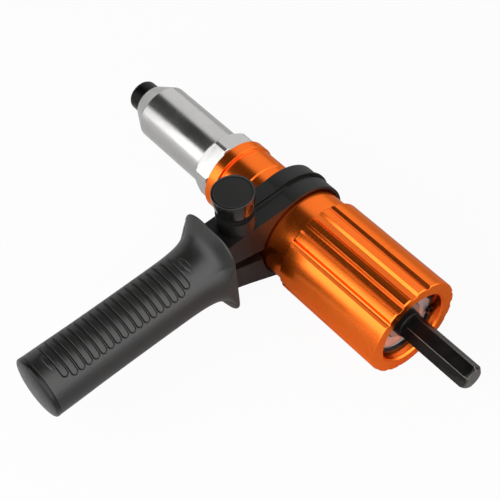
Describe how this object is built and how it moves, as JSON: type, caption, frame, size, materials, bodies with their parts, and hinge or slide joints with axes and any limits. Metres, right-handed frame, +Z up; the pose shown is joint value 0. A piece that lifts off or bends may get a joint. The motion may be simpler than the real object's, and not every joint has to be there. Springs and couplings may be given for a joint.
{
  "type": "rivet drill adapter",
  "caption": "Drill driven blind rivet adapter: fluted housing with a hex drive shank, steel nose with jaws, and a clamped side handle.",
  "frame": {"origin": "on the tool axis, in the rear face of the housing where the hex shank comes out", "axes": "+X along the tool axis from the shank to the nosepiece, +Y along the side handle, +Z up along the clamp knob"},
  "size_m": [0.2077, 0.1527, 0.0655],
  "materials": {
    "orange_anodised": "orange anodised aluminium, satin",
    "nose_steel": "turned and polished steel",
    "black_oxide": "black oxide steel with worn edges",
    "bearing_steel": "ground bearing steel",
    "shield_steel": "pressed bright steel",
    "cage_brass": "stamped brass",
    "tool_steel": "hardened tool steel",
    "spring_steel": "drawn spring wire",
    "zinc_steel": "zinc plated steel",
    "clamp_plastic": "black moulded nylon, satin",
    "grip_plastic": "black fine-grained plastic",
    "cap_plastic": "black plastic, satin",
    "knob_plastic": "glossy black plastic"
  },
  "bodies": {
    "housing": {"rear_sleeve": "orange_anodised", "front_housing": "orange_anodised", "nose_sleeve": "nose_steel", "nosepiece": "black_oxide", "bearing_outer_ring": "bearing_steel", "rear_shield": "shield_steel", "front_shield": "shield_steel", "bore_retaining_ring": "black_oxide", "thrust_front_washer": "bearing_steel"},
    "spindle": {"drive_spindle": "black_oxide", "bearing_inner_ring": "bearing_steel", "thrust_rear_washer": "bearing_steel"},
    "ball_set": {"bearing_cage": "cage_brass", "bearing_balls": "bearing_steel"},
    "needle_set": {"thrust_cage": "cage_brass", "thrust_needles": "bearing_steel"},
    "puller": {"draw_tube": "tool_steel", "anti_rotation_key": "tool_steel", "lock_nut": "zinc_steel", "jaw_case": "tool_steel", "pusher_spring": "spring_steel"},
    "pusher": {"jaw_pusher": "tool_steel"},
    "upper_jaw": {"jaw_top": "tool_steel"},
    "near_jaw": {"jaw_right": "tool_steel"},
    "far_jaw": {"jaw_left": "tool_steel"},
    "side_handle": {"clamp": "clamp_plastic", "knob_washer": "zinc_steel", "handle_stud": "zinc_steel", "handle_grip": "grip_plastic", "handle_end_cap": "cap_plastic"},
    "clamp_knob": {"knob": "knob_plastic", "knob_stud": "zinc_steel"},
    "loose_nut": {"clamp_nut": "zinc_steel"}
  },
  "joints": [
    {"name": "spindle_spin", "type": "hinge", "parent": "housing", "child": "spindle", "pos_m": [0, 0, 0], "axis": [1, 0, 0], "range_deg": [0, 3600]},
    {"name": "ball_orbit", "type": "hinge", "parent": "housing", "child": "ball_set", "pos_m": [0, 0, 0], "axis": [1, 0, 0], "range_deg": [0, 1341]},
    {"name": "needle_orbit", "type": "hinge", "parent": "housing", "child": "needle_set", "pos_m": [0, 0, 0], "axis": [1, 0, 0], "range_deg": [0, 1801]},
    {"name": "puller_slide", "type": "slide", "parent": "housing", "child": "puller", "axis": [1, 0, 0], "range_m": [-0.0175, 0]},
    {"name": "pusher_slide", "type": "slide", "parent": "puller", "child": "pusher", "axis": [1, 0, 0], "range_m": [0, 0.0025]},
    {"name": "upper_jaw_slide", "type": "slide", "parent": "puller", "child": "upper_jaw", "axis": [0.9781, 0, -0.2079], "range_m": [0, 0.00256]},
    {"name": "near_jaw_slide", "type": "slide", "parent": "puller", "child": "near_jaw", "axis": [0.9781, -0.1801, 0.104], "range_m": [0, 0.00256]},
    {"name": "far_jaw_slide", "type": "slide", "parent": "puller", "child": "far_jaw", "axis": [0.9781, 0.1801, 0.104], "range_m": [0, 0.00256]},
    {"name": "handle_swivel", "type": "hinge", "parent": "housing", "child": "side_handle", "pos_m": [0.074, 0, 0], "axis": [1, 0, 0], "continuous": true},
    {"name": "knob_turn", "type": "hinge", "parent": "side_handle", "child": "clamp_knob", "pos_m": [0.074, 0.0268, 0], "axis": [0, 0, 1], "range_deg": [0, 720]},
    {"name": "nut_travel", "type": "slide", "parent": "side_handle", "child": "loose_nut", "axis": [0, 0, 1], "range_m": [-0.002, 0]}
  ],
  "couplings": [
    {"joint": "spindle_spin", "follows": "puller_slide", "rad_per_m": -3590.4},
    {"joint": "ball_orbit", "follows": "puller_slide", "rad_per_m": -1335.6},
    {"joint": "needle_orbit", "follows": "puller_slide", "rad_per_m": -1795.2},
    {"joint": "pusher_slide", "follows": "puller_slide", "ratio": -0.14285},
    {"joint": "upper_jaw_slide", "follows": "puller_slide", "ratio": -0.14605},
    {"joint": "near_jaw_slide", "follows": "puller_slide", "ratio": -0.14605},
    {"joint": "far_jaw_slide", "follows": "puller_slide", "ratio": -0.14605},
    {"joint": "knob_turn", "follows": "nut_travel", "rad_per_m": -6283.1}
  ]
}
